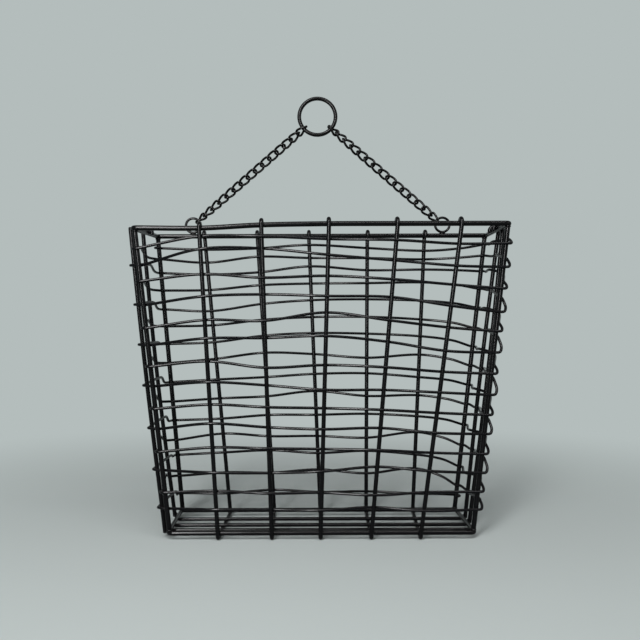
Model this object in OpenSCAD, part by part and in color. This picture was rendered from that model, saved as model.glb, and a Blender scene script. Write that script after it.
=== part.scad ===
// Hanging file rack: a wire basket, woven round with one thin wire.
// It hangs from a ring by two runs of chain.
// Millimetres. X runs along the wall, +Y points into the wall, Z is up. The front faces -Y.

/* [Basket] */
// Width of the rim between wire centres
rim_w = 372; // [300:1:446]
// Width of the bottom frame between wire centres
base_w = 310; // [250:1:372]
// Depth of the rim between wire centres
rim_d = 117; // [98:1:141]
// Depth of the bottom frame between wire centres
base_d = 98; // [82:1:118]
// Height from the bottom frame to the rim between wire centres
wall_h = 310; // [258:1:372]

/* [Wire] */
// Rim wire diameter
rim_wire = 5; // [4:0.1:6]
// Bottom frame wire diameter
base_wire = 4.6; // [3.8:0.1:5.5]
// Corner post wire diameter
post_wire = 4.8; // [4:0.1:5.8]
// Cross rib and side post wire diameter
rib_wire = 4.2; // [3.5:0.1:5]
// Bottom wire diameter
floor_wire = 3.8; // [3.1:0.1:4.5]
// Woven wire diameter
weft_d = 2.7; // [2.2:0.1:3.2]

/* [Weave] */
// Turns of the woven wire
weft_turns = 14; // [10:1:17]
// Height of the first turn below the rim
weft_start = 13; // [11:1:16]
// How far the widest loop of the woven wire stands off the front right post
weft_bulge = 2.5; // [1:0.5:4]

/* [Hanger] */
// Distance from the middle of the rack to each eyelet, on a rim 372 wide
eyelet_x = 141; // [118:1:150]
// Outer diameter of an eyelet
eyelet_od = 19; // [17.5:0.5:22.5]
// Eyelet wire diameter
eyelet_wire = 2.8; // [2.3:0.1:3.3]
// Height of the hanging ring's centre above the rim
ring_rise = 135; // [113:1:162]
// Outer diameter of the hanging ring
ring_od = 45.5; // [38:0.5:54]
// Hanging ring wire diameter
ring_wire = 4.4; // [3.7:0.1:5.3]
// Chain wire diameter
link_wire = 2.6; // [2.2:0.1:3.1]
// How much wider the inside of a link is than the hanging ring wire
link_room = 0.8; // [0.7:0.1:1.6]
// Twist of a link from end to end, in degrees
link_twist = 104; // [92:1:110]

/* [Hidden] */
black = [0.09, 0.09, 0.10];
$fn = 48;

// Links in each run of chain, one node each
links = 15;
// Space left at a crossing of wires and between two links
seat = 0.2;
play = 0.4;
rim_r = rim_wire / 2;
base_r = base_wire / 2;
post_r = post_wire / 2;
rib_r = rib_wire / 2;
floor_r = floor_wire / 2;
weft_r = weft_d / 2;
link_r = link_wire / 2;
rim_corner = 4;
base_corner = 5;
// Stand-off of a rib from the middle of the rim wire and of the bottom frame wire
hook_r = rim_r + seat + rib_r;
foot_r = base_r + seat + rib_r;
// The lowest wire stands on the floor, and the box around the rack is centred
lift = foot_r + rib_r;
back_y = rim_d / 2;

// Walls: half width, front plane and rib stand-off at a height above the bottom frame
function mix(a, b, f) = a + (b - a) * f;
function half_w(z) = mix(base_w, rim_w, z / wall_h) / 2;
function front_y(z) = back_y - mix(base_d, rim_d, z / wall_h);
function stand(z) = mix(foot_r, hook_r, z / wall_h);
function unit(v) = v / norm(v);

// Hand-set unevenness, in millimetres: where each rib meets the rim and the bottom frame
lean_front_top = [4, 3, 7.5, 13, 14];
lean_back_top = [-4.5, -6.5, -10, -5.5, -2.5];
lean_front_foot = [-1, 1.5, -1, -1.5, -3.5];
lean_back_foot = [3, 1.5, 2, 2.5, 4];
// How far the front rim sags at each rib and at its left corner,
// and how far the back rim stands to the right
rim_sway = [-4, -1, 0, 0, 0];
rim_low = -3.5;
rim_skew = 4;
function top_x(i, lean) = (i - 2) * rim_w / 6 + lean[i];
function foot_x(i, lean) = (i - 2) * base_w / 6 + lean[i];
function rib_front_x(i, z) = mix(foot_x(i, lean_front_foot), top_x(i, lean_front_top), z / wall_h);
function rib_back_x(i, z) = mix(foot_x(i, lean_back_foot), top_x(i, lean_back_top), z / wall_h);

// Side posts, left pair and right pair: share of the depth from the back at the foot and at the rim,
// and how far each is bowed outward
side_share = [[[0.21, 0.42], [0.9, 0.9]], [[0.31, 0.38], [0.53, 0.56]]];
side_bow = [[2.5, 1.2], [-1.5, 1.5]];
function share(s, k, z) = mix(side_share[s][k][0], side_share[s][k][1], z / wall_h);
function side_y(s, k, z) = mix(back_y, front_y(z), share(s, k, z));
function side_x(s, k, z) =
  (s == 0 ? -1 : 1) * (half_w(z) + stand(z) + side_bow[s][k] * sin(180 * z / wall_h))
  + rim_skew * (1 - share(s, k, z)) * z / wall_h;

// Corner posts stand on the middle of each corner bend
cut = 1 - cos(45);
function post_at(sx, sy, z) = [
  sx * (half_w(z) - cut * mix(base_corner, rim_corner, z / wall_h)) + (sy > 0 ? rim_skew * z / wall_h : 0),
  sy > 0 ? back_y - cut * mix(base_corner, rim_corner, z / wall_h)
         : front_y(z) + cut * mix(base_corner, rim_corner, z / wall_h),
  z
];

// Tube along a list of points: each ring is set square to the path, with ref giving its roll
function along(p, i, closed) =
  let (n = len(p))
  closed ? unit(p[(i + 1) % n] - p[(i + n - 1) % n])
         : unit(p[min(i + 1, n - 1)] - p[max(i - 1, 0)]);
module tube(p, r, sides, ref, closed = false) {
  n = len(p);
  pts = [
    for (i = [0 : n - 1])
      let (t = along(p, i, closed))
      let (u = unit(cross(t, is_list(ref[0]) ? ref[i] : ref)))
      let (v = cross(t, u))
      for (j = [0 : sides - 1])
        p[i] + r * (cos(360 * j / sides) * u + sin(360 * j / sides) * v)
  ];
  walls = [
    for (i = [0 : closed ? n - 1 : n - 2])
      for (j = [0 : sides - 1])
        let (a = i * sides + j, b = i * sides + (j + 1) % sides)
        let (c = ((i + 1) % n) * sides + j, d = ((i + 1) % n) * sides + (j + 1) % sides)
        for (f = [[a, c, d], [a, d, b]]) f
  ];
  ends = closed ? [] : [
    [for (j = [0 : sides - 1]) j],
    [for (j = [sides - 1 : -1 : 0]) (n - 1) * sides + j]
  ];
  polyhedron(points = pts, faces = concat(walls, ends), convexity = 10);
}

// Straight wire between two points
module rod(a, b, d) {
  v = b - a;
  translate(a)
    rotate([0, acos(v[2] / norm(v)), atan2(v[1], v[0])])
      cylinder(d = d, h = norm(v), $fn = 32);
}

module in_black() {
  color(black) translate([0, 0, lift]) children();
}

// Closed rounded rectangle, seen from above.
// skew moves its back side along, low moves its front left corner
function corner(cx, cy, r, a0, z) = [
  for (a = [0 : 22.5 : 90]) [cx + r * cos(a0 + a), cy + r * sin(a0 + a), z]
];
function loop(w, y0, y1, r, z, skew, low, front) = concat(
  corner(w / 2 - r + skew, y1 - r, r, 0, z),
  corner(-w / 2 + r + skew, y1 - r, r, 90, z),
  corner(-w / 2 + r, y0 + r, r, 180, z + low),
  front,
  corner(w / 2 - r, y0 + r, r, 270, z)
);

module top_rim() {
  sway = [for (i = [0 : 4]) [top_x(i, lean_front_top), front_y(wall_h), wall_h + rim_sway[i]]];
  in_black()
    tube(loop(rim_w, front_y(wall_h), back_y, rim_corner, wall_h, rim_skew, rim_low, sway),
      rim_r, 10, [0, 0, 1], true);
}

module bottom_frame() {
  in_black()
    tube(loop(base_w, front_y(0), back_y, base_corner, 0, 0, 0, []), base_r, 10, [0, 0, 1], true);
}

module corner_post(sx, sy) {
  in_black()
    rod(post_at(sx, sy, base_r * 0.6),
        post_at(sx, sy, wall_h - rim_r * 0.6 + (sx < 0 && sy < 0 ? rim_low : 0)), post_wire);
}
module front_left_post() corner_post(-1, -1);
module front_right_post() corner_post(1, -1);
module back_left_post() corner_post(-1, 1);
module back_right_post() corner_post(1, 1);

// A cross rib hooks over the front rim, runs down, under both bottom rails,
// up the back and over the back rim
module cross_rib(i) {
  y0 = front_y(wall_h);
  y1 = front_y(0);
  hook_z = wall_h + rim_sway[i];
  xa = top_x(i, lean_front_top);
  xb = foot_x(i, lean_front_foot);
  xc = foot_x(i, lean_back_foot);
  xd = top_x(i, lean_back_top);
  path = concat(
    [for (a = [-24, 12, 45, 75, 105, 135, 160, 180]) [xa, y0 + hook_r * cos(a), hook_z + hook_r * sin(a)]],
    [for (a = [180 : 30 : 270]) [xb, y1 + foot_r * cos(a), foot_r * sin(a)]],
    [for (a = [270 : 30 : 360]) [xc, back_y + foot_r * cos(a), foot_r * sin(a)]],
    [for (a = [0, 20, 45, 75, 105, 135, 168, 204]) [xd, back_y + hook_r * cos(a), wall_h + hook_r * sin(a)]]
  );
  in_black() tube(path, rib_r, 8, [1, 0, 0]);
}
module cross_rib_1() cross_rib(0);
module cross_rib_2() cross_rib(1);
module cross_rib_3() cross_rib(2);
module cross_rib_4() cross_rib(3);
module cross_rib_5() cross_rib(4);

// A side post hooks over the side rim, or ends beside it, and stands against the bottom frame
module side_post(s, k, hooked = true) {
  sx = s == 0 ? -1 : 1;
  along = (share(s, k, wall_h) * rim_d - rim_corner) / (rim_d - 2 * rim_corner);
  hook_z = wall_h + (s == 0 ? rim_low * along : 0);
  rim_x = sx * half_w(wall_h) + rim_skew * (1 - along);
  path = concat(
    [for (a = hooked ? [204, 168, 135, 105, 75, 45, 20] : [20])
      [rim_x + sx * hook_r * cos(a), side_y(s, k, wall_h), hook_z + hook_r * sin(a)]],
    [for (f = [1 : -1 / 6 : -0.01])
      [side_x(s, k, f * wall_h), side_y(s, k, f * wall_h), f * hook_z]],
    [[side_x(s, k, 0), side_y(s, k, 0), -base_r]]
  );
  in_black() tube(path, rib_r, 8, [0, 1, 0]);
}
module left_side_post_1() side_post(0, 0);
module left_side_post_2() side_post(0, 1, false);
module right_side_post_1() side_post(1, 0);
module right_side_post_2() side_post(1, 1);

// Three long wires lie on the cross ribs, between the ends of the bottom frame
module bottom_wire(share) {
  y = mix(back_y, front_y(0), share);
  z = -foot_r + rib_r + seat + floor_r;
  reach = base_w / 2 - sqrt(base_r * base_r - z * z) - seat;
  in_black() rod([-reach, y, z], [reach, y, z], floor_wire);
}
module bottom_wire_1() bottom_wire(0.4);
module bottom_wire_2() bottom_wire(0.66);
module bottom_wire_3() bottom_wire(0.865);

// Woven wire, outside one upright and inside the next.
// Each row: how far it strays up or down at the left post, the five ribs and the right post
sway_front = [
  [0, 12, 11, 9, 7, 4, 4], [4, 19, 20, 13, 8, 2, 1], [8, 15, 11, 13, 9, 4, 0],
  [5, 13, 15, 13, 12, 3, -3], [2, 10, 9, 17, 9, 2, -2], [5, 12, 12, 14, 8, -1, -3],
  [4, 9, 3, 5, 3, -2, -4], [4, 9, 5, 1, 0, -2, -5], [2, 6, 4, 2, 1, -3, -5],
  [1, 8, 3, 2, 2, -2, -4], [-1, 3, 3, 1, 1, -3, -4], [-1, -1, -3, 0, 3, 0, -3],
  [-2, -1, -2, -3, -4, -3, -2], [0, 2, 0, 1, 2, 0, 0]
];
sway_back = [
  [0, -2, 0, 3, 0, -4, 3], [7, 4, 10, 9, 8, 7, 10], [12, 10, 13, 19, 15, 15, 13],
  [12, 13, 18, 20, 20, 21, 13], [11, 9, 17, 21, 22, 20, 12], [12, 13, 19, 22, 22, 19, 9],
  [12, 14, 21, 24, 23, 20, 8], [11, 15, 22, 20, 16, 19, 7], [9, 12, 14, 18, 18, 14, 5],
  [8, 10, 13, 18, 13, 13, 4], [6, 8, 11, 12, 12, 10, 0], [5, 10, 8, 7, 6, 11, -2],
  [7, 10, 11, 9, 10, 7, -7], [5, 6, 7, 9, 6, 10, -7], [4, 4, 6, 5, 4, 3, 1]
];
// Height of each loop at the front right post, and rise of each turn at the back one of the left side posts
loop_rise = [5, 9, 7, 14, 8, 16, 8, 17, 8, 14, 9, 14, 7, 9];
left_rise = [7, 5, 2, 4, 8, 1, 6, 4, 6, 4, 4, 3, 3, 2];
pitch = (wall_h - 28) / weft_turns;
function row(i) = floor(i * len(sway_front) / weft_turns);
function back_z(i, j) = wall_h - weft_start - pitch * i + sway_back[row(i)][j];
function face_z(i, j) = wall_h - weft_start - 11 - pitch * i + sway_front[row(i)][j];
// Outside an upright on even counts, inside it on odd ones
function out(n) = n % 2 == 0 ? 1 : -1;
weave = rib_r + weft_r + seat * 2.5;
// Sides that lean out further need more room at their posts
side_weave = weave + 4 * max(0, (rim_w - base_w) / wall_h / 2 - 0.1);
wrap_r = post_r + weft_r + seat * 2;
function round_post(sx, sy, z, angles) = [
  for (a = angles) post_at(sx, sy, z) + wrap_r * [cos(a), sin(a), 0]
];
function on_back(i, j) =
  let (z = back_z(i, j)) [rib_back_x(j - 1, z), back_y + stand(z) + out(i + j) * weave, z];
function on_face(i, j) =
  let (z = face_z(i, j)) [rib_front_x(j - 1, z), front_y(z) - stand(z) - out(i + j) * weave, z];
function at_side(s, k, z, angles) = [
  for (a = angles) [side_x(s, k, z) + side_weave * cos(a), side_y(s, k, z) + side_weave * sin(a), z]
];
// One turn: along the back, along the right side, down in a loop at the front right post,
// along the front and back along the left side
function back_run(i) =
  let (first = i == 0, last = i == weft_turns, odd = out(i) < 0)
  let (r = round_post(1, 1, back_z(i, 6),
    last ? [85, 45, 5, -35, -75, -115] : odd ? [-110, -80, -50] : [85, 45, 5]))
  let (m = mix(on_back(i, 5), r[0], 0.62))
  concat(
    round_post(-1, 1, back_z(i, 0),
      first ? [300, 255, 215, 175, 135, 95] : odd ? [-120, -95, -70] : [175, 135, 95]),
    [for (j = [1 : 5]) on_back(i, j)],
    [[m[0], m[1], mix(back_z(i, 5), back_z(i, 6), 0.4)]],
    r
  );
function right_side(i) =
  let (za = back_z(i, 6), zt = face_z(i, 6) + loop_rise[row(i)])
  let (p = post_at(1, 1, za), q = at_side(1, 0, za - 1, [out(i + 1) > 0 ? 0 : 180])[0])
  concat(
    [[mix(p[0] + wrap_r * 0.6, q[0], 0.6), mix(p[1], q[1], 0.5), za - 2], q],
    at_side(1, 1, mix(za, zt, 0.35), [out(i) > 0 ? 0 : 180])
  );
function right_loop(i) =
  let (rise = loop_rise[row(i)], b = weft_bulge * rise / 16, zb = face_z(i, 6))
  let (post = post_at(1, -1, zb + rise / 2))
  [for (m = [[1, 0.1, 6, 1], [1, 0.65, 2, 0.68], [1, 1, -1, 0.33], [0.8, 0.55, -4, 0.04]])
    [post[0] + m[0] * wrap_r + m[1] * b, post[1] + m[2], zb + m[3] * rise]];
function left_side(i) =
  let (za = face_z(i, 0), zb = back_z(i + 1, 0), zc = za + left_rise[row(i)])
  let (c = at_side(0, 0, zc, [out(i) > 0 ? 180 : 0])[0])
  let (p = round_post(-1, 1, zb, out(i) > 0 ? [-120] : [175])[0])
  concat(
    at_side(0, 1, za + 0.5, out(i) > 0 ? [-20, 20] : [228, 180]),
    [c, [mix(c[0], p[0], 0.2), mix(c[1], p[1], 0.6), mix(zc, zb, 0.85)]]
  );
function turn(i) =
  let (zb = face_z(i, 6), post = post_at(1, -1, zb))
  concat(
    back_run(i), right_side(i), right_loop(i),
    [[post[0] + 1, post[1] - wrap_r - 0.5, zb]],
    [for (j = [5 : -1 : 1]) on_face(i, j)],
    round_post(-1, -1, face_z(i, 0), out(i) > 0 ? [265, 225, 185] : [70, 95, 120]),
    left_side(i)
  );
weft_marks = concat(
  [for (i = [0 : weft_turns - 1]) for (p = turn(i)) p],
  back_run(weft_turns)
);
// Long spans get a middle point, on a curve that passes through every mark
function slope(p, i) =
  let (a = p[max(i - 1, 0)], b = p[i], c = p[min(i + 1, len(p) - 1)])
  (c - a) / (norm(c - b) + norm(b - a));
function eased(p) = [
  for (i = [0 : len(p) - 1])
    let (last = i == len(p) - 1, q = p[last ? i : i + 1])
    for (f = last ? [0] : norm(q - p[i]) > 15 ? [0, 1] : [0])
      f == 0 ? p[i] : (p[i] + q) / 2 + norm(q - p[i]) * (slope(p, i) - slope(p, i + 1)) / 8
];
weft_path = eased(weft_marks);
// Least space between one turn and the next, measured on the marks
per_turn = len(turn(1));
weft_space = min([
  for (i = [4 : len(weft_marks) - per_turn - 1])
    for (k = [-3 : 3])
      let (m = min(i + per_turn + k, len(weft_marks) - 1))
      norm(weft_marks[m] - weft_marks[i])
]) - weft_d;
echo(weft_space = weft_space);

module weft_wire() {
  in_black() tube(weft_path, weft_r, 6, [0, 0, 1]);
}

// Hanger: the line of pull of each run passes through the middle of its eyelet and of the ring
// The eyelets move out with the rim
eyelet_at = eyelet_x * rim_w / 372;
eyelet_r = (eyelet_od - eyelet_wire) / 2;
eyelet_z = wall_h + rim_r + seat + eyelet_od / 2;
ring_r = (ring_od - ring_wire) / 2;
ring_z = wall_h + ring_rise;
pull = [eyelet_at, ring_z - eyelet_z];
run = norm(pull);
low_bar = eyelet_r - eyelet_wire / 2 - play - link_r;
high_bar = ring_r - ring_wire / 2 - play - link_r;
link_pitch = (run - low_bar - high_bar - link_wire - play) / links;
link_len = link_pitch + link_wire + play;
link_half = (ring_wire + link_room) / 2 + link_r;
// Roll of a link about its run: edge on where it takes the eyelet or the ring, flat between
end_turn = 20;
function link_roll(k) =
  let (s = 2 * (k - 1) / (links - 1) - 1)
  (90 + end_turn - link_twist / 2) * (0.3 * s + 0.7 * s * s * s);
// Flat outline of a link: two half circles and two straight sides
link_flat = let (h = link_len / 2 - link_half) concat(
  [for (a = [-90 : 30 : 90]) [h + link_half * cos(a), link_half * sin(a)]],
  [for (f = [0.33, -0.33]) [h * f, link_half]],
  [for (a = [90 : 30 : 270]) [-h + link_half * cos(a), link_half * sin(a)]],
  [for (f = [-0.33, 0.33]) [h * f, -link_half]]
);
module link(s, k) {
  sx = s == 0 ? -1 : 1;
  d = [-sx * pull[0], 0, pull[1]] / run;
  e = [-d[2], 0, d[0]];
  n = [0, -1, 0];
  mid = [sx * eyelet_at, back_y, eyelet_z] + d * (low_bar + link_pitch * (k - 1) + link_len / 2);
  rolls = [for (q = link_flat) link_roll(k) + link_twist * q[0] / link_len];
  path = [
    for (i = [0 : len(link_flat) - 1])
      mid + d * link_flat[i][0] + link_flat[i][1] * (e * cos(rolls[i]) + n * sin(rolls[i]))
  ];
  face = [for (a = rolls) n * cos(a) - e * sin(a)];
  in_black() tube(path, link_r, 6, face, true);
}

// A plain ring of wire, seen face on from the front
module wire_ring(x, z, mean_r, wire) {
  in_black()
    translate([x, back_y, z])
      rotate([90, 0, 0])
        rotate_extrude($fn = 64)
          translate([mean_r, 0]) circle(d = wire, $fn = 32);
}
module left_eyelet() wire_ring(-eyelet_at, eyelet_z, eyelet_r, eyelet_wire);
module right_eyelet() wire_ring(eyelet_at, eyelet_z, eyelet_r, eyelet_wire);
module hang_ring() wire_ring(0, ring_z, ring_r, ring_wire);

module left_link_01() link(0, 1);
module left_link_02() link(0, 2);
module left_link_03() link(0, 3);
module left_link_04() link(0, 4);
module left_link_05() link(0, 5);
module left_link_06() link(0, 6);
module left_link_07() link(0, 7);
module left_link_08() link(0, 8);
module left_link_09() link(0, 9);
module left_link_10() link(0, 10);
module left_link_11() link(0, 11);
module left_link_12() link(0, 12);
module left_link_13() link(0, 13);
module left_link_14() link(0, 14);
module left_link_15() link(0, 15);
module right_link_01() link(1, 1);
module right_link_02() link(1, 2);
module right_link_03() link(1, 3);
module right_link_04() link(1, 4);
module right_link_05() link(1, 5);
module right_link_06() link(1, 6);
module right_link_07() link(1, 7);
module right_link_08() link(1, 8);
module right_link_09() link(1, 9);
module right_link_10() link(1, 10);
module right_link_11() link(1, 11);
module right_link_12() link(1, 12);
module right_link_13() link(1, 13);
module right_link_14() link(1, 14);
module right_link_15() link(1, 15);

top_rim();
bottom_frame();
front_left_post();
front_right_post();
back_left_post();
back_right_post();
cross_rib_1();
cross_rib_2();
cross_rib_3();
cross_rib_4();
cross_rib_5();
left_side_post_1();
left_side_post_2();
right_side_post_1();
right_side_post_2();
bottom_wire_1();
bottom_wire_2();
bottom_wire_3();
weft_wire();
left_eyelet();
right_eyelet();
left_link_01();
left_link_02();
left_link_03();
left_link_04();
left_link_05();
left_link_06();
left_link_07();
left_link_08();
left_link_09();
left_link_10();
left_link_11();
left_link_12();
left_link_13();
left_link_14();
left_link_15();
right_link_01();
right_link_02();
right_link_03();
right_link_04();
right_link_05();
right_link_06();
right_link_07();
right_link_08();
right_link_09();
right_link_10();
right_link_11();
right_link_12();
right_link_13();
right_link_14();
right_link_15();
hang_ring();
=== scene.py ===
"""Hanging file rack: every wire round and smooth on the frame's own routes, in black lacquer.

Lengths are millimetres until a mesh is made. X runs to the right, Y to the back and Z up.
"""

import math

import bpy
import numpy as np
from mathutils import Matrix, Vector


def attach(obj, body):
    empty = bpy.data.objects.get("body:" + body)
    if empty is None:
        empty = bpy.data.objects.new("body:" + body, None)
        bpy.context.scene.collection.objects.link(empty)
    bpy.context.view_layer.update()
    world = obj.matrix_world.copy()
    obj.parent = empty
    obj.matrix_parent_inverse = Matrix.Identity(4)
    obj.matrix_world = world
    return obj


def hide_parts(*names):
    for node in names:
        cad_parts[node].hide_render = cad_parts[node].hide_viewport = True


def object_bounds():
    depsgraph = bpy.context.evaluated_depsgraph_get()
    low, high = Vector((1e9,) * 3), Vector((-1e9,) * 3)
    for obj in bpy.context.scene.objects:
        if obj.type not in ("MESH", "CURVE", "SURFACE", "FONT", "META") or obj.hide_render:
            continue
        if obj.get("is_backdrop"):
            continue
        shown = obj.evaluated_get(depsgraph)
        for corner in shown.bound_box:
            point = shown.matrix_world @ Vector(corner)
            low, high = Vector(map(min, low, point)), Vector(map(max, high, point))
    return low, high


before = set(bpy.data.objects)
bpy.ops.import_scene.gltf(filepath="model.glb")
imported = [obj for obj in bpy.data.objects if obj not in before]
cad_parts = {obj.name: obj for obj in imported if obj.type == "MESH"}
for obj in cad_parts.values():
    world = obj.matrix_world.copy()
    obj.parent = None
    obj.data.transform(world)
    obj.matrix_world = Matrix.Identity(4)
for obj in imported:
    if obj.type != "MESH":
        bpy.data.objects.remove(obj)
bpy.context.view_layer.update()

# Sizes of the rack, the same as in its source
RIM_WIDTH, BASE_WIDTH = 372, 310
RIM_DEPTH, BASE_DEPTH = 117, 98
WALL_HEIGHT = 310
RIM_RADIUS, BASE_RADIUS, POST_RADIUS = 2.5, 2.3, 2.4
RIB_RADIUS, FLOOR_RADIUS, WEFT_RADIUS = 2.1, 1.9, 1.35
RIBS, TURNS, FIRST_TURN, BULGE = 5, 14, 13, 2.5
EYELET_X, EYELET_OUTER, EYELET_WIRE = 141, 19, 2.8
RING_RISE, RING_OUTER, RING_WIRE = 135, 45.5, 4.4
LINKS, LINK_WIRE, LINK_ROOM, LINK_TWIST, END_TURN = 15, 2.6, 0.8, 104, 20
SEAT, PLAY = 0.2, 0.4
RIM_CORNER, BASE_CORNER = 4, 5
HOOK = RIM_RADIUS + SEAT + RIB_RADIUS
FOOT = BASE_RADIUS + SEAT + RIB_RADIUS
LIFT = FOOT + RIB_RADIUS
BACK = RIM_DEPTH / 2
MM = 0.001
# Lacquer on the frame and the woven wire, and a thinner coat on the eyelets, chain and ring
COAT, CHAIN_COAT = 0.1, 0.02
# Sides of a drawn wire, by its thickness, and the longest step along it
HEAVY_SIDES, RIB_SIDES, THIN_SIDES, RING_SIDES = 18, 14, 12, 20
HEAVY_STEP, RIB_STEP, WEFT_STEP = 6, 5, 4
# Points along a corner post, a side post and a long bottom wire, and angles round the closed rings
POST_CUTS, SIDE_CUTS, FLOOR_CUTS = 40, 7, 60
EYELET_ANGLES, RING_ANGLES = np.arange(0, 360, 6), np.arange(0, 360, 4)
# Angles along a hook over the rim and along a bend under the bottom frame
FRONT_HOOK, BACK_HOOK = [-24, 12, 45, 75, 105, 135, 160, 180], [0, 20, 45, 75, 105, 135, 168, 204]
SIDE_HOOK = [204, 168, 135, 105, 75, 45, 20]
FRONT_FOOT, BACK_FOOT = [180, 210, 240, 270], [270, 300, 330, 360]
# Directions to the right, to the back and up
X, Y, Z = [1, 0, 0], [0, 1, 0], [0, 0, 1]

# Unevenness of the ribs, the rim and the side posts
LEAN_FRONT_TOP, LEAN_BACK_TOP = [4, 3, 7.5, 13, 14], [-4.5, -6.5, -10, -5.5, -2.5]
LEAN_FRONT_FOOT, LEAN_BACK_FOOT = [-1, 1.5, -1, -1.5, -3.5], [3, 1.5, 2, 2.5, 4]
RIM_SWAY, RIM_LOW, RIM_SKEW = [-4, -1, 0, 0, 0], -3.5, 4
SIDE_SHARE = {-1: ((0.21, 0.42), (0.9, 0.9)), 1: ((0.31, 0.38), (0.53, 0.56))}
SIDE_BOW = {-1: (2.5, 1.2), 1: (-1.5, 1.5)}
# Share of the depth, from the back, where each long bottom wire lies
FLOOR_SHARE = (0.4, 0.66, 0.865)
# The one side post, by side and count, that ends beside the rim and has no hook
UNHOOKED = (-1, 1)

# How far each run of the woven wire strays at the left post, the five ribs and the right post
SWAY_FRONT = [
    [0, 12, 11, 9, 7, 4, 4], [4, 19, 20, 13, 8, 2, 1], [8, 15, 11, 13, 9, 4, 0],
    [5, 13, 15, 13, 12, 3, -3], [2, 10, 9, 17, 9, 2, -2], [5, 12, 12, 14, 8, -1, -3],
    [4, 9, 3, 5, 3, -2, -4], [4, 9, 5, 1, 0, -2, -5], [2, 6, 4, 2, 1, -3, -5],
    [1, 8, 3, 2, 2, -2, -4], [-1, 3, 3, 1, 1, -3, -4], [-1, -1, -3, 0, 3, 0, -3],
    [-2, -1, -2, -3, -4, -3, -2], [0, 2, 0, 1, 2, 0, 0],
]
SWAY_BACK = [
    [0, -2, 0, 3, 0, -4, 3], [7, 4, 10, 9, 8, 7, 10], [12, 10, 13, 19, 15, 15, 13],
    [12, 13, 18, 20, 20, 21, 13], [11, 9, 17, 21, 22, 20, 12], [12, 13, 19, 22, 22, 19, 9],
    [12, 14, 21, 24, 23, 20, 8], [11, 15, 22, 20, 16, 19, 7], [9, 12, 14, 18, 18, 14, 5],
    [8, 10, 13, 18, 13, 13, 4], [6, 8, 11, 12, 12, 10, 0], [5, 10, 8, 7, 6, 11, -2],
    [7, 10, 11, 9, 10, 7, -7], [5, 6, 7, 9, 6, 10, -7], [4, 4, 6, 5, 4, 3, 1],
]
# Height of each loop at the front right post,
# and rise of each turn at the back one of the left side posts
LOOP_RISE = [5, 9, 7, 14, 8, 16, 8, 17, 8, 14, 9, 14, 7, 9]
LEFT_RISE = [7, 5, 2, 4, 8, 1, 6, 4, 6, 4, 4, 3, 3, 2]


# Walls of the basket, at a height above the bottom frame
def mix(a, b, f):
    return a + (b - a) * f


def half_width(z):
    return mix(BASE_WIDTH, RIM_WIDTH, z / WALL_HEIGHT) / 2


def front(z):
    return BACK - mix(BASE_DEPTH, RIM_DEPTH, z / WALL_HEIGHT)


def rib_stand(z):
    return mix(FOOT, HOOK, z / WALL_HEIGHT)


def rib_x(i, z, foot_lean, top_lean):
    place = i - (RIBS - 1) / 2
    foot = place * BASE_WIDTH / (RIBS + 1) + foot_lean[i]
    top = place * RIM_WIDTH / (RIBS + 1) + top_lean[i]
    return mix(foot, top, z / WALL_HEIGHT)


def rib_front(i, z):
    return rib_x(i, z, LEAN_FRONT_FOOT, LEAN_FRONT_TOP)


def rib_back(i, z):
    return rib_x(i, z, LEAN_BACK_FOOT, LEAN_BACK_TOP)


def side_share(sx, k, z):
    return mix(*SIDE_SHARE[sx][k], z / WALL_HEIGHT)


def side_y(sx, k, z):
    return mix(BACK, front(z), side_share(sx, k, z))


def side_x(sx, k, z):
    bow = SIDE_BOW[sx][k] * math.sin(math.pi * z / WALL_HEIGHT)
    skew = RIM_SKEW * (1 - side_share(sx, k, z)) * z / WALL_HEIGHT
    return sx * (half_width(z) + rib_stand(z) + bow) + skew


def post_at(sx, sy, z):
    inset = (1 - math.cos(math.radians(45))) * mix(BASE_CORNER, RIM_CORNER, z / WALL_HEIGHT)
    skew = RIM_SKEW * z / WALL_HEIGHT if sy > 0 else 0
    y = BACK - inset if sy > 0 else front(z) + inset
    return np.array([sx * (half_width(z) - inset) + skew, y, z])


def arc(centre, radius, degrees, u, v):
    """Points on an arc about a centre, from direction u towards direction v."""
    return [np.array(centre) + radius * (math.cos(a) * np.array(u) + math.sin(a) * np.array(v))
            for a in np.radians(degrees)]


# Wires
def smooth_route(marks, step, closed=False):
    """A curve through every mark, cut into short lengths."""
    marks = np.array(marks, float)
    if closed:
        before, after = np.roll(marks, 1, 0), np.roll(marks, -1, 0)
    else:
        before, after = np.vstack([marks[:1], marks[:-1]]), np.vstack([marks[1:], marks[-1:]])
    reach = np.linalg.norm(after - marks, axis=1) + np.linalg.norm(marks - before, axis=1)
    slopes = (after - before) / reach[:, None]
    count = len(marks)
    route = []
    for i in range(count if closed else count - 1):
        a, b = marks[i], marks[(i + 1) % count]
        length = np.linalg.norm(b - a)
        cuts = max(3, math.ceil(length / step))
        f = (np.arange(cuts) / cuts)[:, None]
        route.append(
            (2 * f ** 3 - 3 * f ** 2 + 1) * a + (3 * f ** 2 - 2 * f ** 3) * b
            + (f ** 3 - 2 * f ** 2 + f) * length * slopes[i]
            + (f ** 3 - f ** 2) * length * slopes[(i + 1) % count]
        )
    if not closed:
        route.append(marks[-1:])
    return np.vstack(route)


def turned(v, axis, angle):
    return v * math.cos(angle) + np.cross(axis, v) * math.sin(angle)


# Broken edge of a cut end: its length and the radius of its face, in radii of the wire
EDGE_LENGTH, EDGE_RADIUS = 0.35, 0.7


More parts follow.
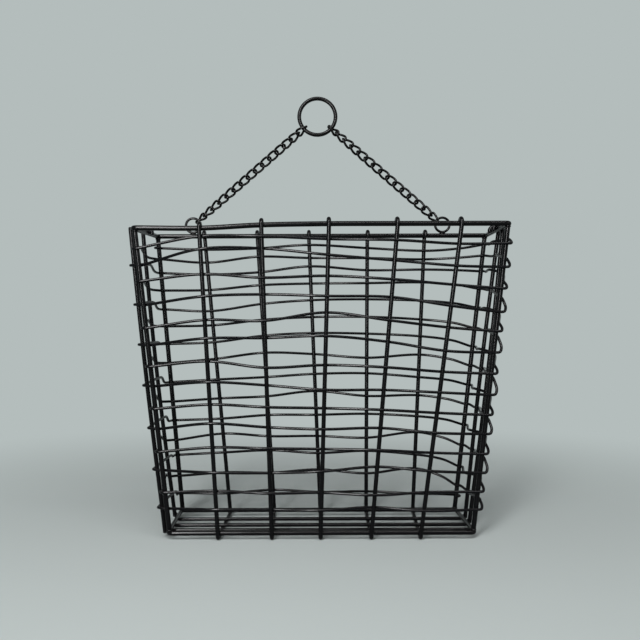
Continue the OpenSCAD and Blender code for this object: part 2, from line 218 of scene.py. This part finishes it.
def tube(route, radius, sides, closed=False):
    """Round wire along a route: its points and faces. A cut end has its edge broken."""
    radius = np.broadcast_to(radius, len(route)).astype(float)
    if not closed:
        trim = EDGE_LENGTH * radius[0]
        first, last = route[1] - route[0], route[-2] - route[-1]
        route = np.vstack([
            route[:1], route[:1] + first / np.linalg.norm(first) * trim, route[1:-1],
            route[-1:] + last / np.linalg.norm(last) * trim, route[-1:]])
        radius = np.concatenate([
            [EDGE_RADIUS * radius[0]], radius, [EDGE_RADIUS * radius[-1]]])
    count = len(route)
    if closed:
        ahead = np.roll(route, -1, 0) - np.roll(route, 1, 0)
    else:
        ahead = np.vstack([
            route[1:2] - route[:1], route[2:] - route[:-2], route[-1:] - route[-2:-1]])
    ahead /= np.linalg.norm(ahead, axis=1)[:, None]
    across = np.zeros((count, 3))
    steep = abs(ahead[0][2]) >= 0.9
    start = np.cross(ahead[0], X if steep else Z)
    across[0] = start / np.linalg.norm(start)
    for i in range(1, count):
        carried = across[i - 1] - ahead[i] * (across[i - 1] @ ahead[i])
        across[i] = carried / np.linalg.norm(carried)
    if closed:
        # Spread the roll that is left over, so that the last ring meets the first
        last = across[-1] - ahead[0] * (across[-1] @ ahead[0])
        left = math.atan2(np.cross(last, across[0]) @ ahead[0], last @ across[0])
        across = np.array([turned(across[i], ahead[i], left * i / count) for i in range(count)])
    up = np.cross(ahead, across)
    angles = np.linspace(0, 2 * math.pi, sides, endpoint=False)
    rings = (route[:, None]
             + radius[:, None, None] * (np.cos(angles)[None, :, None] * across[:, None]
                                        + np.sin(angles)[None, :, None] * up[:, None]))
    points = rings.reshape(-1, 3)
    faces = []
    for i in range(count if closed else count - 1):
        here, there = i * sides, (i + 1) % count * sides
        for j in range(sides):
            k = (j + 1) % sides
            faces.append((here + j, here + k, there + k, there + j))
    if not closed:
        faces.append(tuple(range(sides))[::-1])
        faces.append(tuple((count - 1) * sides + j for j in range(sides)))
    return points, faces


def bead(centre, along, over, sizes):
    """Weld bead: a flattened ball, long along one wire and thin from wire to wire."""
    along, over = np.array(along, float), np.array(over, float)
    along /= np.linalg.norm(along)
    over -= along * (over @ along)
    over /= np.linalg.norm(over)
    beside = np.cross(over, along)
    sides, rows = 10, 5
    points = [np.array(centre) - over * sizes[2]]
    for r in range(1, rows + 1):
        lat = -math.pi / 2 + math.pi * r / (rows + 1)
        for j in range(sides):
            lon = 2 * math.pi * j / sides
            points.append(np.array(centre)
                          + along * sizes[0] * math.cos(lat) * math.cos(lon)
                          + beside * sizes[1] * math.cos(lat) * math.sin(lon)
                          + over * sizes[2] * math.sin(lat))
    points.append(np.array(centre) + over * sizes[2])
    top = len(points) - 1
    faces = []
    for j in range(sides):
        k = (j + 1) % sides
        faces.append((0, 1 + k, 1 + j))
        for r in range(rows - 1):
            here, there = 1 + r * sides, 1 + (r + 1) * sides
            faces.append((here + j, here + k, there + k, there + j))
        faces.append((top, 1 + (rows - 1) * sides + j, 1 + (rows - 1) * sides + k))
    return np.array(points), faces


def joined(parts):
    """Several lots of points and faces as one."""
    points, faces, done = [], [], 0
    for p, f in parts:
        points.append(p)
        faces += [tuple(i + done for i in face) for face in f]
        done += len(p)
    return np.vstack(points), faces


def piece(name, shape, finish, slot, body, *nodes):
    """A finished piece in metres, on its body, in place of the plain nodes that it stands for."""
    points, faces = shape
    mesh = bpy.data.meshes.new(name)
    mesh.from_pydata(((points + [0, 0, LIFT]) * MM).tolist(), [], faces)
    mesh.shade_smooth()
    mesh.materials.append(finish)
    made = bpy.data.objects.new(name, mesh)
    bpy.context.scene.collection.objects.link(made)
    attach(made, body)
    if nodes:
        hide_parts(*nodes)


# Finishes
def linear(hex_colour):
    """A written sRGB colour as linear red, green, blue and alpha."""
    parts = [int(hex_colour[i:i + 2], 16) / 255 for i in (1, 3, 5)]
    return [p / 12.92 if p <= 0.04045 else ((p + 0.055) / 1.055) ** 2.4 for p in parts] + [1]


def add(tree, kind, links=(), sockets=(), **settings):
    """A node with its settings, its socket values and the links that lead into it."""
    made = tree.nodes.new(kind)
    for key, value in settings.items():
        setattr(made, key, value)
    for key, value in dict(sockets).items():
        made.inputs[key].default_value = value
    for key, source in dict(links).items():
        tree.links.new(source, made.inputs[key])
    return made


def per_metre(size):
    """Noise scale that gives a feature of this many millimetres."""
    return 1000 / size


# Width of a dull patch in millimetres, and depth of the orange peel in metres
PATCH, PEEL_DEPTH = 24, 0.0002


def lacquered_iron(name, dark, pale, dust_and_sheen, peel):
    """Iron wire under a satin black stove lacquer.

    To the eye: near black, with thin highlights along each wire that break up a little in the
    lacquer's orange peel, patches that dried duller, and a faint paler grey on what faces up,
    partly a dusty bloom and partly a painted sheen of light falling from above.
    """
    finish = bpy.data.materials.new(name)
    finish.use_nodes = True
    tree = finish.node_tree
    shader = tree.nodes["Principled BSDF"]
    place = add(tree, "ShaderNodeTexCoord")
    patches = add(tree, "ShaderNodeTexNoise", {"Vector": place.outputs["Object"]},
                  {"Scale": per_metre(PATCH), "Detail": 3, "Roughness": 0.6})
    grain = add(tree, "ShaderNodeTexNoise", {"Vector": place.outputs["Object"]},
                {"Scale": per_metre(peel), "Detail": 2, "Roughness": 0.5})
    # Paler grey on the upper side, in patches: partly a dusty film, partly a painted sheen of light
    # from above
    facing = add(tree, "ShaderNodeSeparateXYZ", {"Vector": place.outputs["Normal"]})
    upward = add(tree, "ShaderNodeMapRange", {"Value": facing.outputs["Z"]},
                 {"From Min": 0.35, "From Max": 1.0, "To Max": 0.55})
    dust_and_sheen_share = add(tree, "ShaderNodeMath", {0: upward.outputs["Result"], 1: patches.outputs["Fac"]},
                  operation="MULTIPLY")
    coat = add(tree, "ShaderNodeMix", {"Factor": patches.outputs["Fac"]},
               {"A": linear(dark), "B": linear(pale)}, data_type="RGBA")
    colour = add(tree, "ShaderNodeMix", {"Factor": dust_and_sheen_share.outputs[0], "A": coat.outputs["Result"]},
                 {"B": linear(dust_and_sheen)}, data_type="RGBA")
    dull = add(tree, "ShaderNodeMapRange", {"Value": patches.outputs["Fac"]},
               {"From Min": 0.3, "From Max": 0.7, "To Min": 0.15, "To Max": 0.25})
    relief = add(tree, "ShaderNodeBump", {"Height": grain.outputs["Fac"]},
                 {"Strength": 0.25, "Distance": PEEL_DEPTH})
    tree.links.new(colour.outputs["Result"], shader.inputs["Base Color"])
    tree.links.new(dull.outputs["Result"], shader.inputs["Roughness"])
    tree.links.new(relief.outputs["Normal"], shader.inputs["Normal"])
    shader.inputs["IOR"].default_value = 1.5
    shader.inputs["Specular IOR Level"].default_value = 0.08
    return finish


# The last colour of each is the paler grey on upward faces, partly a dusty film and partly a
# painted sheen
frame_lacquer = lacquered_iron("lacquered_iron_frame", "#020202", "#050506", "#161514", peel=1.6)
woven_lacquer = lacquered_iron("lacquered_iron_woven", "#020203", "#060607", "#191817", peel=1.2)
chain_lacquer = lacquered_iron("lacquered_iron_chain", "#020202", "#050505", "#141312", peel=1.0)


# Camera at the photograph's angle
CAMERA_PLACE = (-26.6, -851.3, 222.6)
FOCAL_PIXELS, IMAGE_PIXELS, SENSOR = 803.6, 640, 36
AXIS_PIXELS, CAMERA_ROLL = (294.5, 319.2), 0.003
camera = bpy.data.objects.new("camera", bpy.data.cameras.new("camera"))
bpy.context.scene.collection.objects.link(camera)
camera.location = Vector(CAMERA_PLACE) * MM
camera.rotation_euler = (math.radians(90), CAMERA_ROLL, 0)
camera.data.sensor_width = SENSOR
camera.data.lens = SENSOR * FOCAL_PIXELS / IMAGE_PIXELS
camera.data.shift_x = 0.5 - AXIS_PIXELS[0] / IMAGE_PIXELS
camera.data.shift_y = AXIS_PIXELS[1] / IMAGE_PIXELS - 0.5
bpy.context.scene.camera = camera


# Rim, bottom frame and corner posts
def frame_piece(name, shape, *nodes):
    piece(name, shape, frame_lacquer, "frame_wire", "basket", *nodes)


def rounded_loop(width, y0, y1, corner, z, skew, low, marks):
    """Marks along a rounded rectangle, seen from above.

    Skew moves its back along, low moves its front left corner up, and marks lie on its front.
    """
    x, steps = width / 2 - corner, np.arange(0, 91, 22.5)
    return (arc([x + skew, y1 - corner, z], corner, steps, X, Y)
            + arc([-x + skew, y1 - corner, z], corner, steps + 90, X, Y)
            + arc([-x, y0 + corner, z + low], corner, steps + 180, X, Y)
            + marks
            + arc([x, y0 + corner, z], corner, steps + 270, X, Y))


rim_marks = [np.array([rib_front(i, WALL_HEIGHT), front(WALL_HEIGHT), WALL_HEIGHT + RIM_SWAY[i]])
             for i in range(RIBS)]
rim_loop = rounded_loop(RIM_WIDTH, front(WALL_HEIGHT), BACK, RIM_CORNER, WALL_HEIGHT,
                        RIM_SKEW, RIM_LOW, rim_marks)
rim_route = smooth_route(rim_loop, HEAVY_STEP, True)
frame_piece("rim_wire", tube(rim_route, RIM_RADIUS + COAT, HEAVY_SIDES, True), "top_rim")
base_loop = rounded_loop(BASE_WIDTH, front(0), BACK, BASE_CORNER, 0, 0, 0, [])
base_route = smooth_route(base_loop, HEAVY_STEP, True)
frame_piece("bottom_frame_wire", tube(base_route, BASE_RADIUS + COAT, HEAVY_SIDES, True),
            "bottom_frame")
# A corner post ends inside the wire that it meets, this share of the radius from its middle
POST_END = 0.6
for side, sx in (("left", -1), ("right", 1)):
    for face, sy in (("front", -1), ("back", 1)):
        low = RIM_LOW if (sx, sy) == (-1, -1) else 0
        foot = post_at(sx, sy, BASE_RADIUS * POST_END)
        top = post_at(sx, sy, WALL_HEIGHT - RIM_RADIUS * POST_END + low)
        route = np.array([mix(foot, top, f) for f in np.linspace(0, 1, POST_CUTS)])
        frame_piece(f"{face}_{side}_post_wire", tube(route, POST_RADIUS + COAT, HEAVY_SIDES),
                    f"{face}_{side}_post")

# Cross ribs, side posts and bottom wires
for i in range(RIBS):
    hook = [rib_front(i, WALL_HEIGHT), front(WALL_HEIGHT), WALL_HEIGHT + RIM_SWAY[i]]
    marks = (arc(hook, HOOK, FRONT_HOOK, Y, Z)
             + arc([rib_front(i, 0), front(0), 0], FOOT, FRONT_FOOT, Y, Z)
             + arc([rib_back(i, 0), BACK, 0], FOOT, BACK_FOOT, Y, Z)
             + arc([rib_back(i, WALL_HEIGHT), BACK, WALL_HEIGHT], HOOK, BACK_HOOK, Y, Z))
    frame_piece(f"cross_rib_{i + 1}_wire",
                tube(smooth_route(marks, RIB_STEP), RIB_RADIUS + COAT, RIB_SIDES),
                f"cross_rib_{i + 1}")


def side_hook(sx, k):
    """Middle of the rim wire where a side post meets it."""
    along = (SIDE_SHARE[sx][k][1] * RIM_DEPTH - RIM_CORNER) / (RIM_DEPTH - 2 * RIM_CORNER)
    return np.array([sx * half_width(WALL_HEIGHT) + RIM_SKEW * (1 - along),
                     side_y(sx, k, WALL_HEIGHT),
                     WALL_HEIGHT + (RIM_LOW * along if sx < 0 else 0)])


for side, sx in (("left", -1), ("right", 1)):
    for k in range(2):
        hook = side_hook(sx, k)
        bend = SIDE_HOOK[-1:] if (sx, k) == UNHOOKED else SIDE_HOOK
        marks = arc(hook, HOOK, bend, [sx, 0, 0], Z)
        for f in np.linspace(1, 0, SIDE_CUTS):
            z = f * WALL_HEIGHT
            marks.append(np.array([side_x(sx, k, z), side_y(sx, k, z), f * hook[2]]))
        marks.append(np.array([side_x(sx, k, 0), side_y(sx, k, 0), -BASE_RADIUS]))
        frame_piece(f"{side}_side_post_{k + 1}_wire",
                    tube(smooth_route(marks, RIB_STEP), RIB_RADIUS + COAT, RIB_SIDES),
                    f"{side}_side_post_{k + 1}")
FLOOR_Z = FLOOR_RADIUS - BASE_RADIUS
FLOOR_REACH = BASE_WIDTH / 2 - math.sqrt(BASE_RADIUS ** 2 - FLOOR_Z ** 2) - SEAT
FLOOR_YS = [mix(BACK, front(0), share) for share in FLOOR_SHARE]
for k, y in enumerate(FLOOR_YS):
    xs = np.linspace(-FLOOR_REACH, FLOOR_REACH, FLOOR_CUTS)
    route = np.array([[x, y, FLOOR_Z] for x in xs])
    frame_piece(f"bottom_wire_{k + 1}_laid", tube(route, FLOOR_RADIUS + COAT, RIB_SIDES),
                f"bottom_wire_{k + 1}")

# Woven wire: one length, along the back, the right side, the front and the left side of each turn

# Height that the turns leave free, and drop from the back of a turn to its front
FREE_HEIGHT, FRONT_DROP = 28, 11
PITCH = (WALL_HEIGHT - FREE_HEIGHT) / TURNS
# Distance of the wire from the middle of a rib or side post, and of a corner post
WEAVE = RIB_RADIUS + WEFT_RADIUS + SEAT * 2.5
WRAP = POST_RADIUS + WEFT_RADIUS + SEAT * 2
# Rise of a loop that stands off the front right post by the whole bulge
FULL_RISE = 16
# Places along a run: the left post, the ribs from 1 to 5, the right post
LEFT_POST, RIGHT_POST = 0, RIBS + 1


def back_z(i, j):
    return WALL_HEIGHT - FIRST_TURN - PITCH * i + SWAY_BACK[i][j]


def face_z(i, j):
    return WALL_HEIGHT - FIRST_TURN - FRONT_DROP - PITCH * i + SWAY_FRONT[i][j]


def outside(n):
    """1 where the wire passes outside an upright, -1 where it passes inside."""
    return 1 if n % 2 == 0 else -1


def round_post(sx, sy, z, degrees):
    return arc(post_at(sx, sy, z), WRAP, degrees, X, Y)


def on_back(i, j):
    z = back_z(i, j)
    return np.array([rib_back(j - 1, z), BACK + rib_stand(z) + outside(i + j) * WEAVE, z])


def on_face(i, j):
    z = face_z(i, j)
    return np.array([rib_front(j - 1, z), front(z) - rib_stand(z) - outside(i + j) * WEAVE, z])


def at_side(sx, k, z, degrees):
    return arc([side_x(sx, k, z), side_y(sx, k, z), z], WEAVE, degrees, X, Y)


def back_run(i):
    within = outside(i) < 0
    left = round_post(-1, 1, back_z(i, LEFT_POST), [300, 255, 215, 175, 135, 95] if i == 0
                      else [-120, -95, -70] if within else [175, 135, 95])
    right = round_post(1, 1, back_z(i, RIGHT_POST), [85, 45, 5, -35, -75, -115] if i == TURNS
                       else [-110, -80, -50] if within else [85, 45, 5])
    bend = mix(on_back(i, RIBS), right[0], 0.62)
    bend[2] = mix(back_z(i, RIBS), back_z(i, RIGHT_POST), 0.4)
    return left + [on_back(i, j) for j in range(1, RIBS + 1)] + [bend] + right


def right_side(i):
    start, loop_top = back_z(i, RIGHT_POST), face_z(i, RIGHT_POST) + LOOP_RISE[i]
    post = post_at(1, 1, start)
    first = at_side(1, 0, start - 1, [0 if outside(i + 1) > 0 else 180])[0]
    between = np.array([
        mix(post[0] + WRAP * 0.6, first[0], 0.6), mix(post[1], first[1], 0.5), start - 2])
    second = at_side(1, 1, mix(start, loop_top, 0.35), [0 if outside(i) > 0 else 180])
    return [between, first] + second


def right_loop(i):
    """The wire stands off the front right post and drops to the front run.

    Each mark: share of the wrap, share of the stand-off, millimetres back and share of the drop.
    """
    rise, z = LOOP_RISE[i], face_z(i, RIGHT_POST)
    stand_off = BULGE * rise / FULL_RISE
    x, y, _ = post_at(1, -1, z + rise / 2)
    shares = ((1, 0.1, 6, 1), (1, 0.65, 2, 0.68), (1, 1, -1, 0.33), (0.8, 0.55, -4, 0.04))
    marks = [np.array([x + wrap * WRAP + off * stand_off, y + back, z + up * rise])
             for wrap, off, back, up in shares]
    x, y, _ = post_at(1, -1, z)
    return marks + [np.array([x + 1, y - WRAP - 0.5, z])]


def left_side(i):
    start, end = face_z(i, LEFT_POST), back_z(i + 1, LEFT_POST)
    rear_z = start + LEFT_RISE[i]
    rear = at_side(-1, 0, rear_z, [180 if outside(i) > 0 else 0])[0]
    post = round_post(-1, 1, end, [-120 if outside(i) > 0 else 175])[0]
    between = np.array([
        mix(rear[0], post[0], 0.2), mix(rear[1], post[1], 0.6), mix(rear_z, end, 0.85)])
    fore = at_side(-1, 1, start + 0.5, [-20, 20] if outside(i) > 0 else [228, 180])
    return fore + [rear, between]


weft_marks = []
for i in range(TURNS):
    weft_marks += back_run(i) + right_side(i) + right_loop(i)
    weft_marks += [on_face(i, j) for j in range(RIBS, 0, -1)]
    weft_marks += round_post(-1, -1, face_z(i, LEFT_POST),
                             [265, 225, 185] if outside(i) > 0 else [70, 95, 120])
    weft_marks += left_side(i)
weft_marks += back_run(TURNS)
weft_route = smooth_route(weft_marks, WEFT_STEP)
piece("woven_wire", tube(weft_route, WEFT_RADIUS + COAT, THIN_SIDES), woven_lacquer, "woven_wire",
      "basket", "weft_wire")

# Weld beads where the heavier wires cross: half length, half width and half thickness
HOOK_WELD, CROSS_WELD, END_WELD = (2.6, 2.4, 1.0), (1.9, 1.7, 0.8), (2.0, 1.9, 0.9)
POST_FOOT_WELD, POST_TOP_WELD, EYELET_WELD = (3.1, 3.1, 1.5), (3.2, 3.2, 1.5), (3.6, 1.6, 1.0)
# How far the middle of a post's weld stands past the surface of the wire that the post meets
WELD_RISE = 0.4
over_rim, under_base = RIM_RADIUS + SEAT / 2, BASE_RADIUS + SEAT / 2
beads = []
for i in range(RIBS):
    foot_front, foot_back = rib_front(i, 0), rib_back(i, 0)
    front_top, back_top = WALL_HEIGHT + RIM_SWAY[i] + over_rim, WALL_HEIGHT + over_rim
    for place in ([rib_front(i, WALL_HEIGHT), front(WALL_HEIGHT), front_top],
                  [rib_back(i, WALL_HEIGHT), BACK, back_top],
                  [foot_front, front(0), -under_base],
                  [foot_back, BACK, -under_base]):
        beads.append(bead(place, X, Z, HOOK_WELD))
    for y in FLOOR_YS:
        x = mix(foot_back, foot_front, (BACK - y) / BASE_DEPTH)
        beads.append(bead([x, y, FLOOR_Z - FLOOR_RADIUS - SEAT / 2], X, Z, CROSS_WELD))
for sx in (-1, 1):
    for k in range(2):
        lie = [sx, 0, 0] if (sx, k) == UNHOOKED else Z
        beads.append(bead(side_hook(sx, k) + over_rim * np.array(lie), Y, lie, HOOK_WELD))
        foot = [sx * (half_width(0) + under_base), side_y(sx, k, 0), 0]
        beads.append(bead(foot, Y, X, HOOK_WELD))
    for y in FLOOR_YS:
        beads.append(bead([sx * FLOOR_REACH, y, FLOOR_Z], Y, X, END_WELD))
    for sy in (-1, 1):
        beads.append(bead(post_at(sx, sy, BASE_RADIUS + WELD_RISE), X, Z, POST_FOOT_WELD))
        top = WALL_HEIGHT - RIM_RADIUS - WELD_RISE + (RIM_LOW if (sx, sy) == (-1, -1) else 0)
        beads.append(bead(post_at(sx, sy, top), X, Z, POST_TOP_WELD))
    beads.append(bead([sx * EYELET_X, BACK, WALL_HEIGHT + over_rim], X, Z, EYELET_WELD))
frame_piece("frame_welds", joined(beads))

# Eyelets, chain and ring
EYELET_MEAN = (EYELET_OUTER - EYELET_WIRE) / 2
EYELET_Z = WALL_HEIGHT + RIM_RADIUS + SEAT + EYELET_OUTER / 2
RING_MEAN = (RING_OUTER - RING_WIRE) / 2
RING_Z = WALL_HEIGHT + RING_RISE
for side, sx in (("left", -1), ("right", 1)):
    route = np.array(arc([sx * EYELET_X, BACK, EYELET_Z], EYELET_MEAN, EYELET_ANGLES, X, Z))
    frame_piece(f"{side}_eyelet_wire", tube(route, EYELET_WIRE / 2 + CHAIN_COAT, RIB_SIDES, True),
                f"{side}_eyelet")
route = np.array(arc([0, BACK, RING_Z], RING_MEAN, RING_ANGLES, X, Z))
piece("hang_ring_wire", tube(route, RING_WIRE / 2 + CHAIN_COAT, RING_SIDES, True), chain_lacquer,
      "chain_wire", "hanging_ring", "hang_ring")

LINK_RADIUS = LINK_WIRE / 2
pull = np.array([EYELET_X, RING_Z - EYELET_Z])
run = np.linalg.norm(pull)
low_bar = EYELET_MEAN - EYELET_WIRE / 2 - PLAY - LINK_RADIUS
high_bar = RING_MEAN - RING_WIRE / 2 - PLAY - LINK_RADIUS
link_pitch = (run - low_bar - high_bar - LINK_WIRE - PLAY) / LINKS
link_length = link_pitch + LINK_WIRE + PLAY
link_half = (RING_WIRE + LINK_ROOM) / 2 + LINK_RADIUS
straight = link_length / 2 - link_half
# A link's weld swells its wire by this share, over about this length to each side
SWELL, SWELL_LENGTH = 0.04, 0.9
# Share of a link's roll that comes evenly along the run, the rest near its ends
EVEN_ROLL = 0.3


def link_roll(k):
    """Edge on where a link takes the eyelet or the ring, flat between."""
    s = 2 * (k - 1) / (LINKS - 1) - 1
    return (90 + END_TURN - LINK_TWIST / 2) * (EVEN_ROLL * s + (1 - EVEN_ROLL) * s ** 3)


def link_shape(sx, k):
    """A link bent flat and then twisted, with the swelling that its weld leaves on one side."""
    bend = [[link_half * math.cos(a), link_half * math.sin(a)]
            for a in np.radians(np.arange(-90, 91, 10))]
    flat = [[straight + u, v] for u, v in bend]
    flat += [[straight * f, link_half] for f in (0.6, 0.2, -0.2, -0.6)]
    flat += [[-straight - u, -v] for u, v in bend]
    flat += [[straight * f, -link_half] for f in (-0.6, -0.2, 0.2, 0.6)]
    along = np.array([-sx * pull[0], 0, pull[1]]) / run
    beside, out = np.array([-along[2], 0, along[0]]), np.array([0, -1, 0])
    middle = (np.array([sx * EYELET_X, BACK, EYELET_Z])
              + along * (low_bar + link_pitch * (k - 1) + link_length / 2))
    route, radii = [], []
    for u, v in flat:
        roll = math.radians(link_roll(k) + LINK_TWIST * u / link_length)
        route.append(middle + along * u + v * (beside * math.cos(roll) + out * math.sin(roll)))
        swell = SWELL * math.exp(-(u / SWELL_LENGTH) ** 2) if v > 0 else 0
        radii.append(CHAIN_COAT + LINK_RADIUS * (1 + swell))
    return tube(np.array(route), np.array(radii), THIN_SIDES, True)


for side, sx in (("left", -1), ("right", 1)):
    for k in range(1, LINKS + 1):
        piece(f"{side}_link_{k:02d}_wire", link_shape(sx, k), chain_lacquer, "chain_wire",
              f"link_pair_{k:02d}", f"{side}_link_{k:02d}")


# Studio: a pale floor that turns up into a round backdrop on every side
def painted_board(name, colour, tone, near, far):
    """Matt painted board.

    To the eye: even and without shine under the lamps. Far from the rack it shows one pale tone.
    """
    finish = bpy.data.materials.new(name)
    finish.use_nodes = True
    tree = finish.node_tree
    shader = tree.nodes["Principled BSDF"]
    shader.inputs["Base Color"].default_value = linear(colour)
    shader.inputs["Roughness"].default_value = 0.9
    shader.inputs["Specular IOR Level"].default_value = 0.2
    place = add(tree, "ShaderNodeTexCoord")
    reach = add(tree, "ShaderNodeVectorMath", {0: place.outputs["Object"]}, operation="LENGTH")
    away = add(tree, "ShaderNodeMapRange", {"Value": reach.outputs["Value"]},
               {"From Min": near, "From Max": far}, interpolation_type="SMOOTHSTEP")
    ray = add(tree, "ShaderNodeLightPath")
    seen = add(tree, "ShaderNodeMath",
               {0: ray.outputs["Is Camera Ray"], 1: ray.outputs["Is Glossy Ray"]},
               operation="MAXIMUM")
    seen = add(tree, "ShaderNodeMath", {0: seen.outputs[0], 1: ray.outputs["Is Transmission Ray"]},
               operation="MAXIMUM")
    share = add(tree, "ShaderNodeMath", {0: seen.outputs[0], 1: away.outputs["Result"]},
                operation="MULTIPLY")
    plain = add(tree, "ShaderNodeEmission", sockets={"Color": linear(tone)})
    shown = add(tree, "ShaderNodeMixShader",
                {0: share.outputs[0], 1: shader.outputs["BSDF"], 2: plain.outputs["Emission"]})
    tree.links.new(shown.outputs["Shader"], tree.nodes["Material Output"].inputs["Surface"])
    return finish


# Metres: flat radius, radius of the bend and height of the backdrop
STUDIO_FLAT, STUDIO_BEND, STUDIO_HEIGHT = 2.6, 1.0, 3.0
SPOKES = 96
profile = [(r, 0) for r in np.linspace(0.1, STUDIO_FLAT, 10)]
profile += [(STUDIO_FLAT + STUDIO_BEND * math.sin(a), STUDIO_BEND * (1 - math.cos(a)))
            for a in np.linspace(0.1, math.pi / 2, 16)]
profile.append((STUDIO_FLAT + STUDIO_BEND, STUDIO_HEIGHT))
points = [(r * math.cos(a), r * math.sin(a), z)
          for r, z in profile for a in np.linspace(0, 2 * math.pi, SPOKES, endpoint=False)]
faces = []
for i in range(len(profile) - 1):
    here, there = i * SPOKES, (i + 1) * SPOKES
    for j in range(SPOKES):
        k = (j + 1) % SPOKES
        faces.append((here + j, there + j, there + k, here + k))
faces.append(tuple(range(SPOKES)))
bowl_mesh = bpy.data.meshes.new("studio_floor")
bowl_mesh.from_pydata(points, [], faces)
bowl_mesh.shade_smooth()
bowl_mesh.materials.append(
    painted_board("painted_board_floor", "#727776", "#b4bdbc", near=0.1, far=0.9))
studio_floor = bpy.data.objects.new("studio_floor", bowl_mesh)
bpy.context.scene.collection.objects.link(studio_floor)
studio_floor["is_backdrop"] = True


def soft_light(name, place, size, power, aim=(0, 0, 0.22)):
    """A soft light of a width and height in metres and a power in watts, turned to the rack."""
    lamp = bpy.data.lights.new(name, "AREA")
    lamp.shape = "RECTANGLE"
    lamp.size, lamp.size_y = size
    lamp.energy = power
    holder = bpy.data.objects.new(name, lamp)
    bpy.context.scene.collection.objects.link(holder)
    holder.location = place
    holder.rotation_euler = (Vector(aim) - Vector(place)).to_track_quat("-Z", "Y").to_euler()


soft_light("front_light", (-0.5, -1.6, 0.9), (0.3, 1.8), 110)
soft_light("fill_light", (1.7, -1.2, 0.9), (1.0, 1.0), 10)
soft_light("top_light", (0.1, -1.1, 1.8), (1.6, 0.25), 45)
world = bpy.data.worlds.new("studio_air")
world.use_nodes = True
world.node_tree.nodes["Background"].inputs["Color"].default_value = linear("#dfe6e6")
world.node_tree.nodes["Background"].inputs["Strength"].default_value = 0.3
bpy.context.scene.world = world
bpy.context.scene.view_settings.view_transform = "Standard"

low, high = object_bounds()
